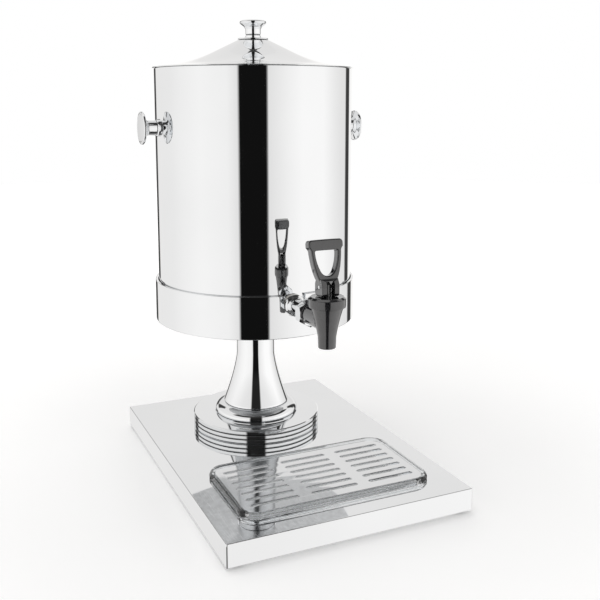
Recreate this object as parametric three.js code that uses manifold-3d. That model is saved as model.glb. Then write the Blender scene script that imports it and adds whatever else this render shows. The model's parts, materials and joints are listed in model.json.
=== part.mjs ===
// Countertop drinks dispenser: a polished steel vessel with a lift-off lid and a self-closing tap. It stands in a
// notched cup on a trumpet pedestal, over a folded steel base with a lift-out drip tray.
// Millimetres, +Z up, the tap towards -Y, the origin under the middle of the whole object.

import * as THREE from "three";
import { mergeVertices } from "three/addons/utils/BufferGeometryUtils.js";
import Module from "manifold-3d";

const wasm = await Module();
wasm.setup();

// ---- Driving dimensions ----

const GAP = 0.3; // clearance between pieces that touch
const BIG_ROUND = 48; // sides of the vessel, cup and lid

const FOOT_HEIGHT = 2;
const BASE_WIDTH = 262;
const BASE_DEPTH = 368;
const BASE_FRONT = -188.4;
const BASE_TOP = 25.5;
const SHEET = 1.5; // thickness of the folded and spun sheet
const FLANGE_WIDTH = 22; // return flange under the base's skirt
const STIFFENER_THICKNESS = 3;
const STIFFENER_TOP = BASE_TOP - SHEET - GAP;
const STIFFENER_BOTTOM = STIFFENER_TOP - STIFFENER_THICKNESS;

const BODY_Y = 72; // the axis of the pedestal, cup, vessel and lid
const PLINTH_RADIUS = 75.2;
const PLINTH_TOP = 41;
const COLLAR_RADIUS = 49.1;
const COLLAR_TOP = 52.2;
const COLUMN_RADIUS = 22.5;
const FLARE_TOP = 113;
const FOOT_LIP_RADIUS = 38.2;

const CUP_RADIUS = 116.4;
const CUP_WALL = 3.1;
const CUP_FLOOR = 2;
const CUP_BOTTOM = 159;
const CUP_TOP = 206;
const NOTCH_HALF_WIDTH = 12.6;

const VESSEL_RADIUS = 112.5;
const VESSEL_TOP = 446;
const VESSEL_FLOOR = 177;
const LID_RADIUS = 114.3;
const LID_FLAT_RADIUS = 17;
const KNOB_RADIUS = 15.2;
const KNOB_NECK_RADIUS = 8.8;
const KNOB_WASHER_RADIUS = 17.4;
const KNOB_TOP = 500.5;

const HANDLE_Z = 380.6;
const HANDLE_RADIUS = 18;
const HANDLE_STEM_RADIUS = 8.1;
const HANDLE_REACH = 133; // from the vessel's axis to the knob's face

const TAP_Y = -121;
const SHANK_Z = 195;
const SHANK_RADIUS = 8;
const BORE_RADIUS = 5.2; // the way the drink takes through the shank
const SPOUT_BOTTOM = 169.5;
const SEAT_Z = 188.5; // where the seat cup closes the spout
const CHAMBER_RADIUS = 8.2;
const TAP_TOP = 210.7;
const BONNET_RADIUS = 18.9;
const BONNET_TOP = 221.5;
const PIN_Z = 231;
const PIN_RADIUS = 1.8;
const RUNNING_CLEARANCE = 0.08; // radial, between the lever's pin and the hole it turns in
const LEVER_LEAN = THREE.MathUtils.degToRad(10);

const TRAY_Y = -101.7;
const TRAY_WIDTH = 207;
const TRAY_DEPTH = 118.5;
const TRAY_CORNER = 20;
const TRAY_BOTTOM = 8;
const TRAY_RIM_TOP = 32;
const TRAY_WALL = 1.6;
const TRAY_WALL_INSET = 10.5; // from the tray's outline to the inside of its wall
const LEDGE_Z = 28.5; // the grille rests here
const GRILLE_INSET = 6; // from the tray's outline to the grille's
const SLOT_ROWS = 7;
const SLOT_PITCH = 12.7;
const SLOT_LENGTH = 51;
const SLOT_WIDTH = 5;
const SLOT_GROUP_PITCH = 64;

// ---- Materials ----

const metal = (color, roughness) => new THREE.MeshStandardMaterial({ color, roughness, metalness: 1 });
const plain = (color, roughness) => new THREE.MeshStandardMaterial({ color, roughness, metalness: 0 });
const steel = metal(0xd9dbdc, 0.08);
const brushed = metal(0xb9bcbe, 0.35);
const chrome = metal(0xe4e6e8, 0.04);
const black = plain(0x141415, 0.22);
const clear = plain(0xe6eaec, 0.06);
clear.transparent = true;
clear.opacity = 0.55;
const silicone = plain(0xd8d4cb, 0.6);
const rubber = plain(0x1c1c1d, 0.8);

// ---- Geometry helpers ----

// Keeps positions only, joins shared corners and turns the faces outwards.
function closed(geometry) {
  geometry.deleteAttribute("normal");
  geometry.deleteAttribute("uv");
  const merged = mergeVertices(geometry, 1e-4);
  const p = merged.getAttribute("position");
  const index = merged.index.array;
  const kept = [];
  const [a, b, c] = [new THREE.Vector3(), new THREE.Vector3(), new THREE.Vector3()];
  let volume = 0;
  for (let i = 0; i < index.length; i += 3) {
    const [ia, ib, ic] = [index[i], index[i + 1], index[i + 2]];
    if (ia === ib || ib === ic || ia === ic) continue;
    kept.push(ia, ib, ic);
    volume += a.fromBufferAttribute(p, ia).dot(b.fromBufferAttribute(p, ib).cross(c.fromBufferAttribute(p, ic)));
  }
  if (volume < 0) {
    for (let i = 0; i < kept.length; i += 3) {
      [kept[i + 1], kept[i + 2]] = [kept[i + 2], kept[i + 1]];
    }
  }
  merged.setIndex(kept);
  return merged;
}

function toManifold(geometry) {
  const g = closed(geometry);
  return new wasm.Manifold(
    new wasm.Mesh({
      numProp: 3,
      vertProperties: new Float32Array(g.getAttribute("position").array),
      triVerts: new Uint32Array(g.index.array),
    }),
  );
}

function toGeometry(manifold) {
  const { vertProperties, triVerts } = manifold.getMesh();
  const geometry = new THREE.BufferGeometry();
  geometry.setAttribute("position", new THREE.BufferAttribute(vertProperties, 3));
  geometry.setIndex(new THREE.BufferAttribute(triVerts, 1));
  geometry.computeVertexNormals();
  return geometry;
}

function cut(geometry, ...tools) {
  return toGeometry(tools.reduce((solid, tool) => solid.subtract(toManifold(tool)), toManifold(geometry)));
}

function join(geometry, ...others) {
  return toGeometry(others.reduce((solid, other) => solid.add(toManifold(other)), toManifold(geometry)));
}

function common(geometry, other) {
  return toGeometry(toManifold(geometry).intersect(toManifold(other)));
}

// A solid turned about Z. The profile is [radius, z] points, from axis to axis.
function turned(profile, segments) {
  const points = profile.map(([r, z]) => new THREE.Vector2(r, z));
  return closed(new THREE.LatheGeometry(points, segments).rotateX(Math.PI / 2));
}

// A ring turned about Z: its profile closes on itself.
function turnedRing(profile, segments) {
  return turned([...profile, profile[0]], segments);
}

function tube(inner, outer, low, high, segments) {
  return turnedRing([[outer, low], [outer, high], [inner, high], [inner, low]], segments);
}

function rod(radius, low, high, segments) {
  return turned([[0, low], [radius, low], [radius, high], [0, high]], segments);
}

function rodAlongX(radius, low, high, segments) {
  return rod(radius, low, high, segments).rotateY(Math.PI / 2);
}

// Runs from y = low to y = high.
function rodAlongY(radius, low, high, segments) {
  return rod(radius, low, high, segments).rotateX(-Math.PI / 2);
}

function box(x, y, z, centre = [0, 0, 0]) {
  return new THREE.BoxGeometry(x, y, z).translate(...centre);
}

function plate(shape, low, high, curveSegments = 6) {
  const depth = high - low;
  return new THREE.ExtrudeGeometry(shape, { depth, bevelEnabled: false, curveSegments }).translate(0, 0, low);
}

function roundedRectangle(width, depth, radius, ShapeClass = THREE.Shape) {
  const [x, y] = [width / 2 - radius, depth / 2 - radius];
  const outline = new ShapeClass();
  outline.absarc(x, y, radius, 0, Math.PI / 2);
  outline.absarc(-x, y, radius, Math.PI / 2, Math.PI);
  outline.absarc(-x, -y, radius, Math.PI, 1.5 * Math.PI);
  outline.absarc(x, -y, radius, 1.5 * Math.PI, 2 * Math.PI);
  outline.closePath();
  return outline;
}

function circleHole(radius) {
  return new THREE.Path().absarc(0, 0, radius, 0, 2 * Math.PI, true);
}

// A hexagonal nut about Z, from its width across flats.
function hexNut(acrossFlats, bore, low, high) {
  const shape = new THREE.Shape();
  for (let i = 0; i < 6; i++) {
    const angle = (i * Math.PI) / 3;
    const corner = acrossFlats / Math.sqrt(3);
    shape[i ? "lineTo" : "moveTo"](corner * Math.cos(angle), corner * Math.sin(angle));
  }
  shape.closePath();
  shape.holes.push(circleHole(bore));
  return plate(shape, low, high, 7);
}

// Points of an arc, for a turned profile. Angles in degrees.
function arc(r, z, radius, from, to, steps) {
  const points = [];
  for (let i = 0; i <= steps; i++) {
    const angle = THREE.MathUtils.degToRad(from + ((to - from) * i) / steps);
    points.push([r + radius * Math.cos(angle), z + radius * Math.sin(angle)]);
  }
  return points;
}

const dispenser = new THREE.Group();

function group(x, y, z) {
  const made = new THREE.Group();
  made.position.set(x, y, z);
  dispenser.add(made);
  return made;
}

function add(parent, name, geometry, material, position = [0, 0, 0]) {
  const mesh = new THREE.Mesh(closed(geometry), material);
  mesh.name = name;
  mesh.position.set(...position);
  parent.add(mesh);
  return mesh;
}

// ---- Base: folded sheet shell, stiffener and feet ----

const baseCentreY = BASE_FRONT + BASE_DEPTH / 2;
const footX = BASE_WIDTH / 2 - FLANGE_WIDTH / 2 - 1;
const footY = BASE_DEPTH / 2 - FLANGE_WIDTH / 2 - 1;
const footPlaces = { front_left: [-1, -1], front_right: [1, -1], rear_left: [-1, 1], rear_right: [1, 1] };
const FOOT_NECK = 3.2;
const FOOT_RADIUS = 9;
const STIFFENER_WIDTH = 170;
const STIFFENER_DEPTH = 150;
const PAN_MARGIN = 8.5; // from the tray's outline to the opening that its pan hangs through
const PAN_HOLE_CORNER = 12;
const TIE_ROD_RADIUS = 5;
const TIE_ROD_HOLE = TIE_ROD_RADIUS + 0.6;

function makeBase() {
  const base = group(0, baseCentreY, 0);
  const skin = plate(roundedRectangle(BASE_WIDTH, BASE_DEPTH, 2), FOOT_HEIGHT, BASE_TOP, 3);
  const [innerWidth, innerDepth] = [BASE_WIDTH - 2 * SHEET, BASE_DEPTH - 2 * SHEET];
  const innerHeight = BASE_TOP - FOOT_HEIGHT - 2 * SHEET;
  const hollow = box(innerWidth, innerDepth, innerHeight, [0, 0, FOOT_HEIGHT + SHEET + innerHeight / 2]);
  const mouth = box(BASE_WIDTH - 2 * FLANGE_WIDTH, BASE_DEPTH - 2 * FLANGE_WIDTH, 8, [0, 0, FOOT_HEIGHT]);
  const panHole = roundedRectangle(TRAY_WIDTH - 2 * PAN_MARGIN, TRAY_DEPTH - 2 * PAN_MARGIN, PAN_HOLE_CORNER);
  const trayHole = plate(panHole, BASE_TOP - 5, BASE_TOP + 5, 4);
  trayHole.translate(0, TRAY_Y - baseCentreY, 0);
  const rodHole = rod(TIE_ROD_HOLE, BASE_TOP - 5, BASE_TOP + 5, 16).translate(0, BODY_Y - baseCentreY, 0);
  const footHoles = Object.values(footPlaces).map(([x, y]) =>
    rod(FOOT_NECK + GAP, FOOT_HEIGHT - 1, FOOT_HEIGHT + SHEET + 1, 14).translate(x * footX, y * footY, 0),
  );
  add(base, "base_shell", cut(skin, hollow, mouth, trayHole, rodHole, ...footHoles), steel);

  const stiffener = roundedRectangle(STIFFENER_WIDTH, STIFFENER_DEPTH, 8);
  stiffener.holes.push(circleHole(TIE_ROD_HOLE));
  add(base, "base_stiffener", plate(stiffener, STIFFENER_BOTTOM, STIFFENER_TOP, 4), brushed, [
    0,
    BODY_Y - baseCentreY,
    0,
  ]);

  const flangeTop = FOOT_HEIGHT + SHEET;
  const footProfile = [
    [0, 0],
    [FOOT_RADIUS - 0.8, 0],
    [FOOT_RADIUS, 0.8],
    [FOOT_RADIUS, FOOT_HEIGHT - GAP],
    [FOOT_NECK, FOOT_HEIGHT - GAP],
    [FOOT_NECK, flangeTop + GAP],
    [FOOT_NECK + 1.6, flangeTop + GAP],
    [FOOT_NECK - 0.8, flangeTop + 4.2],
    [0, flangeTop + 4.2],
  ];
  for (const [place, [x, y]] of Object.entries(footPlaces)) {
    add(base, `foot_${place}`, turned(footProfile, 12), rubber, [x * footX, y * footY, 0]);
  }
}

// ---- Pedestal: ribbed plinth, domed collar, trumpet column and the tie rod that clamps them ----

const PLINTH_RIBS = 3;
const PLINTH_PLATE = 5; // thickness inside the plinth's recess
const [PLINTH_HUB_RADIUS, PLINTH_RECESS_RADIUS] = [16, 66];
const COLLAR_BORE_RADIUS = 32;
const COLUMN_WALL = 2;
const COLUMN_CAP = 4;
const ROD_WASHER = 1.6;
const ROD_WASHER_RADIUS = 12;
const ROD_NUT = 7;
const ROD_NUT_FLATS = 17;

function makePedestal() {
  const pedestal = group(0, BODY_Y, 0);

  const plinthBottom = BASE_TOP + GAP;
  const ribHeight = (PLINTH_TOP - plinthBottom) / PLINTH_RIBS;
  const edge = [];
  for (let i = 0; i < PLINTH_RIBS; i++) {
    const [low, high] = [plinthBottom + i * ribHeight, plinthBottom + (i + 1) * ribHeight];
    edge.push([PLINTH_RADIUS - 1.3, low], [PLINTH_RADIUS, low + 0.9], [PLINTH_RADIUS, high - 0.9]);
  }
  edge.push([PLINTH_RADIUS - 0.9, PLINTH_TOP]);
  const recessTop = PLINTH_TOP - PLINTH_PLATE;
  const plinthUnderside = [
    [TIE_ROD_HOLE, PLINTH_TOP],
    [TIE_ROD_HOLE, plinthBottom],
    [PLINTH_HUB_RADIUS, plinthBottom],
    [PLINTH_HUB_RADIUS, recessTop],
    [PLINTH_RECESS_RADIUS, recessTop],
    [PLINTH_RECESS_RADIUS, plinthBottom],
  ];
  add(pedestal, "ribbed_plinth", turnedRing([...edge, ...plinthUnderside], 36), steel);

  const collarBottom = PLINTH_TOP + GAP;
  const collarHeight = COLLAR_TOP - collarBottom;
  const collarDome = arc(0, 0, 1, 0, 90, 5).map(([x, y]) => [
    COLLAR_RADIUS - 12.5 * (1 - x),
    collarBottom + 1.2 + (collarHeight - 1.2) * y,
  ]);
  const collarInside = [[COLLAR_BORE_RADIUS, COLLAR_TOP], [COLLAR_BORE_RADIUS, collarBottom]];
  const collarFoot = [[COLLAR_RADIUS - 1, collarBottom]];
  add(pedestal, "pedestal_collar", turnedRing([...collarFoot, ...collarDome, ...collarInside], 32), chrome);

  const columnBottom = COLLAR_TOP + GAP;
  const columnTop = CUP_BOTTOM - GAP;
  const lipTop = columnBottom + 1.4;
  const flare = (z) => {
    const t = Math.max(0, (FLARE_TOP - z) / (FLARE_TOP - lipTop));
    return COLUMN_RADIUS + (FOOT_LIP_RADIUS - COLUMN_RADIUS) * t ** 1.4;
  };
  const [outside, inside] = [[], []];
  const steps = 5;
  for (let i = 0; i <= steps; i++) {
    const z = lipTop + ((FLARE_TOP - lipTop) * i) / steps;
    outside.push([flare(z), z]);
    inside.unshift([flare(z) - COLUMN_WALL, z]);
  }
  const columnProfile = [
    [FOOT_LIP_RADIUS - 3, columnBottom],
    [FOOT_LIP_RADIUS - 0.8, columnBottom],
    ...outside,
    [COLUMN_RADIUS, columnTop],
    [TIE_ROD_HOLE, columnTop],
    [TIE_ROD_HOLE, columnTop - COLUMN_CAP],
    [COLUMN_RADIUS - COLUMN_WALL, columnTop - COLUMN_CAP],
    ...inside,
  ];
  add(pedestal, "pedestal_column", turnedRing(columnProfile, 28), chrome);

  const lowerWasher = STIFFENER_BOTTOM - GAP - ROD_WASHER;
  const lowerNut = lowerWasher - GAP - ROD_NUT;
  const upperWasher = CUP_BOTTOM + CUP_FLOOR + GAP;
  const upperNut = upperWasher + ROD_WASHER + GAP;
  const hole = TIE_ROD_RADIUS + GAP;
  add(pedestal, "tie_rod", rod(TIE_ROD_RADIUS, lowerNut - 2, upperNut + ROD_NUT + 2, 16), brushed);
  const washer = (low) => tube(hole, ROD_WASHER_RADIUS, low, low + ROD_WASHER, 14);
  add(pedestal, "tie_rod_lower_washer", washer(lowerWasher), brushed);
  add(pedestal, "tie_rod_lower_nut", hexNut(ROD_NUT_FLATS, hole, lowerNut, lowerNut + ROD_NUT), brushed);
  add(pedestal, "tie_rod_upper_washer", washer(upperWasher), brushed);
  add(pedestal, "tie_rod_upper_nut", hexNut(ROD_NUT_FLATS, hole, upperNut, upperNut + ROD_NUT - 1), brushed);
}

// ---- Cup: the notched band that the vessel stands in ----

function makeCup() {
  const cup = group(0, BODY_Y, 0);
  const inner = CUP_RADIUS - CUP_WALL;
  const profile = [
    [TIE_ROD_HOLE, CUP_BOTTOM],
    [CUP_RADIUS - 1, CUP_BOTTOM],
    [CUP_RADIUS, CUP_BOTTOM + 1],
    [CUP_RADIUS, CUP_TOP - 0.6],
    [CUP_RADIUS - 0.6, CUP_TOP],
    [inner, CUP_TOP],
    [inner, CUP_BOTTOM + CUP_FLOOR],
    [TIE_ROD_HOLE, CUP_BOTTOM + CUP_FLOOR],
  ];
  const notchShape = new THREE.Shape();
  notchShape.absarc(0, SHANK_Z, NOTCH_HALF_WIDTH, Math.PI, 2 * Math.PI);
  notchShape.lineTo(NOTCH_HALF_WIDTH, CUP_TOP + 5);
  notchShape.lineTo(-NOTCH_HALF_WIDTH, CUP_TOP + 5);
  notchShape.closePath();
  const notch = plate(notchShape, CUP_RADIUS - 12, CUP_RADIUS + 5, 14).rotateX(Math.PI / 2);
  add(cup, "support_cup", cut(turnedRing(profile, BIG_ROUND), notch), steel);
}

// ---- Vessel and its side handles ----

const vesselInner = VESSEL_RADIUS - SHEET;
const HANDLE_SCREW_RADIUS = 3;
const HANDLE_SCREW_HEAD = 6;
const HANDLE_SEAL_RADIUS = 8;
const HANDLE_COLLAR_LENGTH = 3;

function makeVessel() {
  const vessel = group(0, BODY_Y, 0);
  const skirtBottom = CUP_BOTTOM + CUP_FLOOR + GAP;
  const profile = [
    [0, VESSEL_FLOOR - 1],
    [vesselInner, VESSEL_FLOOR],
    [vesselInner, skirtBottom],
    [VESSEL_RADIUS, skirtBottom],
    [VESSEL_RADIUS, VESSEL_TOP],
    [vesselInner, VESSEL_TOP],
    [vesselInner, VESSEL_FLOOR + SHEET],
    [0, VESSEL_FLOOR + SHEET - 1],
  ];
  const wall = turned(profile, BIG_ROUND);
  const shankHole = rodAlongY(SHANK_RADIUS + GAP, -VESSEL_RADIUS - 5, -vesselInner + 5, 20);
  shankHole.translate(0, 0, SHANK_Z);
  const screwHoles = [-1, 1].map((side) => {
    const hole = rodAlongX(HANDLE_SCREW_RADIUS + GAP, vesselInner - 5, VESSEL_RADIUS + 5, 14);
    return hole.scale(side, 1, 1).translate(0, 0, HANDLE_Z);
  });
  add(vessel, "vessel_shell", cut(wall, shankHole, ...screwHoles), steel);

  const knobFace = HANDLE_REACH - VESSEL_RADIUS;
  const socket = HANDLE_SCREW_RADIUS + GAP;
  const knobProfile = [
    [0, knobFace - 9],
    [socket, knobFace - 9],
    [socket, HANDLE_COLLAR_LENGTH + GAP],
    [HANDLE_STEM_RADIUS, HANDLE_COLLAR_LENGTH + GAP],
    [HANDLE_STEM_RADIUS, knobFace - 6],
    [HANDLE_STEM_RADIUS + 2, knobFace - 4.4],
    [HANDLE_RADIUS - 0.6, knobFace - 3],
    [HANDLE_RADIUS, knobFace - 2.2],
    [HANDLE_RADIUS - 0.5, knobFace - 1],
    [HANDLE_RADIUS - 3, knobFace - 0.2],
    [0, knobFace],
  ];
  const wallCylinder = () => rod(VESSEL_RADIUS + GAP, -20, 20, BIG_ROUND);
  for (const [side, sign] of [["left", -1], ["right", 1]]) {
    const handle = new THREE.Group();
    handle.position.set(0, 0, HANDLE_Z);
    handle.rotation.z = sign > 0 ? 0 : Math.PI;
    vessel.add(handle);
    const turn = (geometry) => geometry.rotateY(Math.PI / 2);
    add(handle, `${side}_handle_knob`, turn(turned(knobProfile, 24)), chrome, [VESSEL_RADIUS, 0, 0]);
    const collar = turn(tube(socket, HANDLE_STEM_RADIUS + 1.5, -2, HANDLE_COLLAR_LENGTH, 20));
    collar.translate(VESSEL_RADIUS, 0, 0);
    add(handle, `${side}_handle_collar`, cut(collar, wallCylinder()), chrome);
    const seal = turn(tube(socket, HANDLE_SEAL_RADIUS, -4, 2, 14)).translate(vesselInner, 0, 0);
    const sealInside = rod(vesselInner - GAP, -20, 20, BIG_ROUND);
    const sealFace = box(6, 30, 30, [vesselInner - 5, 0, 0]);
    add(handle, `${side}_handle_seal`, cut(common(seal, sealInside), sealFace), silicone);
    const headEnd = vesselInner - 2 - GAP;
    const screw = turned(
      [
        [0, headEnd - 3.6],
        [HANDLE_SCREW_HEAD - 1.8, headEnd - 3.6],
        [HANDLE_SCREW_HEAD, headEnd - 2.2],
        [HANDLE_SCREW_HEAD, headEnd],
        [HANDLE_SCREW_RADIUS, headEnd],
        [HANDLE_SCREW_RADIUS, VESSEL_RADIUS + knobFace - 10],
        [0, VESSEL_RADIUS + knobFace - 10],
      ],
      12,
    );
    add(handle, `${side}_handle_screw`, turn(screw), brushed);
  }
}

// ---- Lid: spun tent-shaped cover with its knob ----

// Height of the lid's upper surface: a cone that flattens towards the rim.
const LID_EDGE_Z = 447.4;
const LID_SHEET = 1.3;
const LID_SKIRT = 12;
function lidHeight(r) {
  const [coneRadius, flatRadius, coneSlope, flatSlope] = [45, 100, 0.48, 0.11];
  const outer = (LID_RADIUS - Math.max(r, flatRadius)) * flatSlope;
  const s = THREE.MathUtils.clamp((flatRadius - r) / (flatRadius - coneRadius), 0, 1);
  const middle = (flatRadius - coneRadius) * (flatSlope * s + ((coneSlope - flatSlope) * s * s) / 2);
  const inner = Math.max(0, coneRadius - r) * coneSlope;
  return LID_EDGE_Z + outer + middle + inner;
}

function makeLid() {
  const lid = group(0, BODY_Y, 0);
  const radii = [LID_RADIUS - 1, 94, 70, 48, LID_FLAT_RADIUS];
  const above = radii.map((r) => [r, lidHeight(r)]);
  const skirtRadius = vesselInner - 1;
  const below = [LID_FLAT_RADIUS, 48, 70, 94, skirtRadius - LID_SHEET].map((r) => [r, lidHeight(r) - LID_SHEET]);
  const screwHole = 2.9;
  const lidTop = lidHeight(LID_FLAT_RADIUS);
  const rimBottom = VESSEL_TOP + GAP;
  const skirtBottom = VESSEL_TOP - LID_SKIRT;
  const profile = [
    [LID_RADIUS - 0.6, rimBottom],
    [LID_RADIUS, rimBottom + 0.7],
    ...above,
    [screwHole, lidTop],
    [screwHole, lidTop - LID_SHEET],
    ...below,
    [skirtRadius - LID_SHEET, skirtBottom],
    [skirtRadius, skirtBottom],
    [skirtRadius, rimBottom],
  ];
  add(lid, "lid_shell", turnedRing(profile, BIG_ROUND), steel);

  const washerBottom = lidTop + GAP;
  const washerTop = washerBottom + 1.3;
  const washerProfile = [
    [screwHole, washerBottom],
    [KNOB_WASHER_RADIUS, washerBottom],
    [KNOB_WASHER_RADIUS, washerTop - 0.5],
    [KNOB_WASHER_RADIUS - 1.4, washerTop],
    [screwHole, washerTop],
  ];
  add(lid, "knob_washer", turnedRing(washerProfile, 20), chrome);

  const knobBottom = washerTop + GAP;
  const knobProfile = [
    [0, KNOB_TOP - 6],
    [screwHole, KNOB_TOP - 6],
    [screwHole, knobBottom],
    [KNOB_NECK_RADIUS, knobBottom],
    [KNOB_NECK_RADIUS, knobBottom + 2.6],
    [KNOB_NECK_RADIUS - 1, knobBottom + 3.4],
    [KNOB_NECK_RADIUS, knobBottom + 4.4],
    [KNOB_NECK_RADIUS, knobBottom + 9.6],
    [KNOB_NECK_RADIUS + 1.6, knobBottom + 12.4],
    [KNOB_RADIUS - 0.7, KNOB_TOP - 4],
    [KNOB_RADIUS, KNOB_TOP - 3],
    [KNOB_RADIUS - 0.8, KNOB_TOP - 1.4],
    [KNOB_RADIUS - 3.4, KNOB_TOP - 0.4],
    [0, KNOB_TOP],
  ];
  add(lid, "lid_knob", turned(knobProfile, 24), chrome);

  const underside = lidTop - LID_SHEET;
  const screwWasher = underside - GAP - 1;
  const head = screwWasher - GAP;
  add(lid, "knob_screw_washer", tube(screwHole, 7, screwWasher, screwWasher + 1, 14), brushed);
  const screwProfile = [[0, head - 3], [4, head - 3], [4.8, head - 2], [4.8, head], [2.5, head]];
  add(lid, "knob_screw", turned([...screwProfile, [2.5, KNOB_TOP - 7], [0, KNOB_TOP - 7]], 12), brushed);
}

// ---- Tap: shank through the vessel's wall, body, bonnet, sprung valve and lever ----

const FLANGE_RADIUS = 11.5;
const SEAL_THICKNESS = 1.6;
const NUT_LENGTH = 12;
const NUT_FLATS = 25.4;
const INNER_NUT_LENGTH = 6;
const INNER_NUT_FLATS = 24;
const INLET_RADIUS = 10.8;
const SPOUT_BORE_RADIUS = 5.8;
const SOCKET_DEPTH = 13;
const TAP_INLET_END = 36; // from the tap's axis back to its inlet face

function makeShank() {
  // Distances along the shank are measured from the vessel's axis towards the tap.
  const shank = group(0, BODY_Y, SHANK_Z);
  const sealOut = VESSEL_RADIUS + GAP + SEAL_THICKNESS;
  const inletFace = BODY_Y - TAP_Y - TAP_INLET_END;
  const shankEnd = inletFace + 12;
  const sealIn = vesselInner - SEAL_THICKNESS - 1.2;
  const innerNut = sealIn - GAP - INNER_NUT_LENGTH;
  const shankStart = innerNut - 3;
  const flange = sealOut + GAP;
  const shankProfile = [
    [BORE_RADIUS, shankStart],
    [SHANK_RADIUS, shankStart],
    [SHANK_RADIUS, flange],
    [FLANGE_RADIUS - 0.5, flange],
    [FLANGE_RADIUS, flange + 0.5],
    [FLANGE_RADIUS, flange + 2.6],
    [FLANGE_RADIUS - 1, flange + 3.4],
    [SHANK_RADIUS + 0.6, flange + 4.4],
    [SHANK_RADIUS, flange + 6],
    [SHANK_RADIUS, shankEnd],
    [BORE_RADIUS, shankEnd],
  ];
  const towardsTap = (geometry) => geometry.rotateX(Math.PI / 2);
  add(shank, "tap_shank", towardsTap(turnedRing(shankProfile, 20)), chrome);

  const bore = SHANK_RADIUS + GAP;
  const outerSeal = towardsTap(tube(bore, FLANGE_RADIUS, VESSEL_RADIUS - 3, sealOut, 16));
  const wallSurface = rod(VESSEL_RADIUS + GAP, -30, 30, BIG_ROUND);
  add(shank, "tap_outer_seal", cut(outerSeal, wallSurface), silicone);
  const innerSeal = towardsTap(tube(bore, FLANGE_RADIUS + 1, sealIn, vesselInner + 2, 16));
  add(shank, "tap_inner_seal", common(innerSeal, rod(vesselInner - GAP, -30, 30, BIG_ROUND)), silicone);
  const backNut = hexNut(INNER_NUT_FLATS, bore, innerNut, innerNut + INNER_NUT_LENGTH);
  add(shank, "tap_inner_nut", towardsTap(backNut), brushed);
  const nutStart = inletFace - GAP - NUT_LENGTH;
  const nut = towardsTap(hexNut(NUT_FLATS, bore, nutStart, nutStart + NUT_LENGTH));
  add(shank, "tap_coupling_nut", nut.rotateY(Math.PI / 6), chrome);
}

const BONNET_PLATE = 3.6; // thickness over the chamber
const SPRING_RADIUS = 5.6;
const SPRING_WIRE_RADIUS = 0.7;
const SPRING_TURNS = 4;
const [STEM_RADIUS, STEM_FOOT_RADIUS] = [3.6, 5];

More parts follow.
